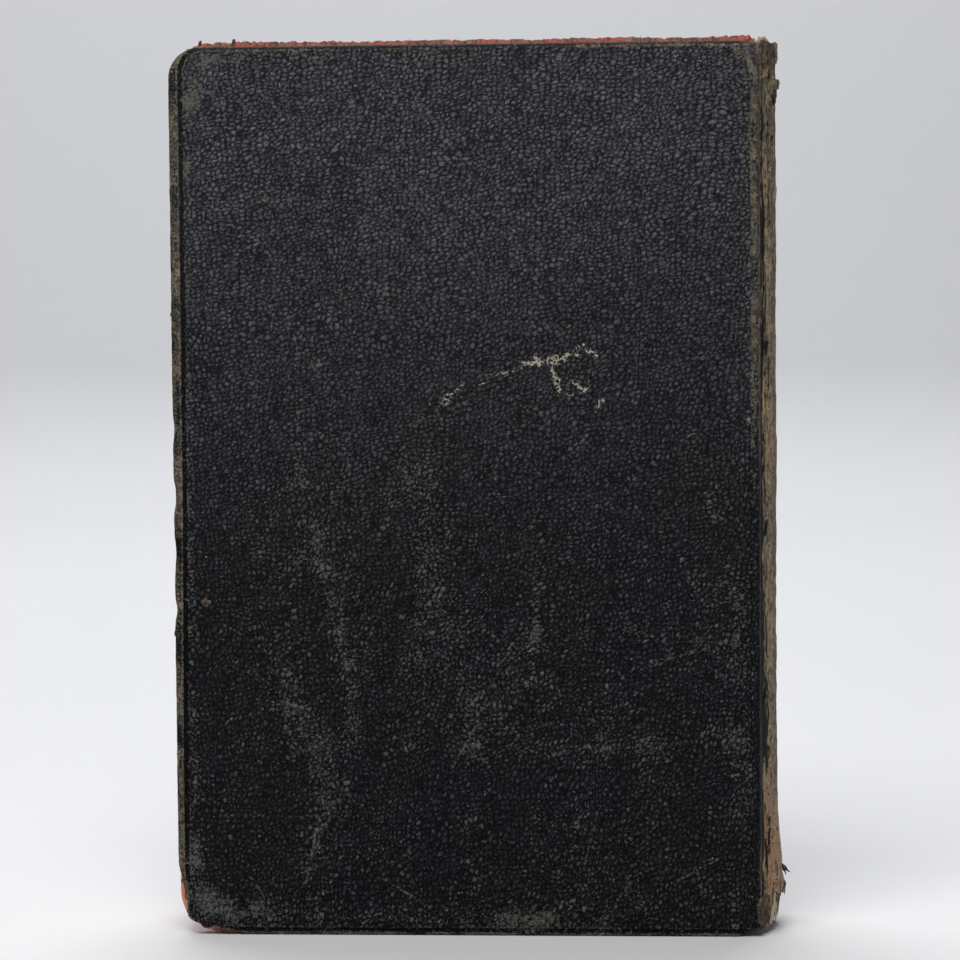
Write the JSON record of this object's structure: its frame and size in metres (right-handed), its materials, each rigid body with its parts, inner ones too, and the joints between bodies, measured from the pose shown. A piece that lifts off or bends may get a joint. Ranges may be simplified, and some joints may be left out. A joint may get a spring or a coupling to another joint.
{
  "type": "prayer book",
  "caption": "Small leather-bound book with thin board covers, a rounded spine and sewn gatherings of leaves. It opens at each cover and through the middle.",
  "frame": {"origin": "bottom centre of the closed book's bounding box, on the surface it stands on", "axes": "+Z from tail to head, +X from fore-edge to spine, +Y from the back cover to the front cover"},
  "size_m": [0.0947, 0.022, 0.14],
  "materials": {
    "black_leather": "pebble-grain leather, blind tooled, worn to tan and brown at the edges",
    "spine_leather": "worn and cracked leather, black finish rubbed to brown and tan",
    "board": "grey pasteboard",
    "coral_endpaper": "coral-red surface paper, matte",
    "leaf_paper": "aged cream book paper, edges stained red",
    "lining_card": "brown kraft card",
    "mull": "open-weave cotton stiffened with glue",
    "linen_tape": "plain-weave linen",
    "linen_thread": "waxed linen thread",
    "endband_silk": "wound silk in red and cream"
  },
  "bodies": {
    "back_half": {"gathering_07": "leaf_paper", "gathering_08": "leaf_paper", "gathering_09": "leaf_paper", "gathering_10": "leaf_paper", "gathering_11": "leaf_paper", "gathering_12": "leaf_paper", "centre_sheet_back": "leaf_paper", "spine_leather_back": "spine_leather", "spine_lining_back": "lining_card", "mull_back": "mull", "tape_head_back": "linen_tape", "tape_middle_back": "linen_tape", "tape_tail_back": "linen_tape", "kettle_stitches_head_back": "linen_thread", "kettle_stitches_tail_back": "linen_thread", "endband_head_back": "endband_silk", "endband_tail_back": "endband_silk"},
    "front_half": {"gathering_01": "leaf_paper", "gathering_02": "leaf_paper", "gathering_03": "leaf_paper", "gathering_04": "leaf_paper", "gathering_05": "leaf_paper", "gathering_06": "leaf_paper", "centre_sheet_front": "leaf_paper", "spine_leather_front": "spine_leather", "spine_lining_front": "lining_card", "mull_front": "mull", "tape_head_front": "linen_tape", "tape_middle_front": "linen_tape", "tape_tail_front": "linen_tape", "kettle_stitches_head_front": "linen_thread", "kettle_stitches_tail_front": "linen_thread", "endband_head_front": "endband_silk", "endband_tail_front": "endband_silk"},
    "front_cover": {"front_cover_leather": "black_leather", "front_cover_board": "board", "front_pastedown": "coral_endpaper"},
    "front_flyleaf": {"front_flyleaf": "coral_endpaper"},
    "turning_leaf_front": {"turning_leaf_front": "leaf_paper"},
    "back_cover": {"back_cover_leather": "black_leather", "back_cover_board": "board", "back_pastedown": "coral_endpaper"},
    "back_flyleaf": {"back_flyleaf": "coral_endpaper"},
    "turning_leaf_back": {"turning_leaf_back": "leaf_paper"}
  },
  "joints": [
    {"name": "book_opening", "type": "hinge", "parent": "back_half", "child": "front_half", "pos_m": [0.04735, 0, 0.07], "axis": [0, 0, -1], "range_deg": [0, 120]},
    {"name": "front_cover_hinge", "type": "hinge", "parent": "front_half", "child": "front_cover", "pos_m": [0.04395, 0.011, 0.07], "axis": [0, 0, -1], "range_deg": [0, 120]},
    {"name": "back_cover_hinge", "type": "hinge", "parent": "back_half", "child": "back_cover", "pos_m": [0.04395, -0.011, 0.07], "axis": [0, 0, 1], "range_deg": [0, 120]},
    {"name": "front_flyleaf_turn", "type": "hinge", "parent": "front_half", "child": "front_flyleaf", "pos_m": [0.0429, 0.00817, 0.07], "axis": [0, 0, -1], "range_deg": [0, 60]},
    {"name": "back_flyleaf_turn", "type": "hinge", "parent": "back_half", "child": "back_flyleaf", "pos_m": [0.0429, -0.00817, 0.07], "axis": [0, 0, 1], "range_deg": [0, 60]},
    {"name": "turning_leaf_back_turn", "type": "hinge", "parent": "back_half", "child": "turning_leaf_back", "pos_m": [0.04735, 0, 0.07], "axis": [0, 0, -1], "range_deg": [0, 40]},
    {"name": "turning_leaf_front_turn", "type": "hinge", "parent": "back_half", "child": "turning_leaf_front", "pos_m": [0.04735, 0, 0.07], "axis": [0, 0, -1], "range_deg": [0, 80]}
  ],
  "couplings": [
    {"joint": "front_flyleaf_turn", "follows": "front_cover_hinge", "ratio": 0.5},
    {"joint": "back_flyleaf_turn", "follows": "back_cover_hinge", "ratio": 0.5},
    {"joint": "turning_leaf_back_turn", "follows": "book_opening", "ratio": 0.33333},
    {"joint": "turning_leaf_front_turn", "follows": "book_opening", "ratio": 0.66667}
  ]
}
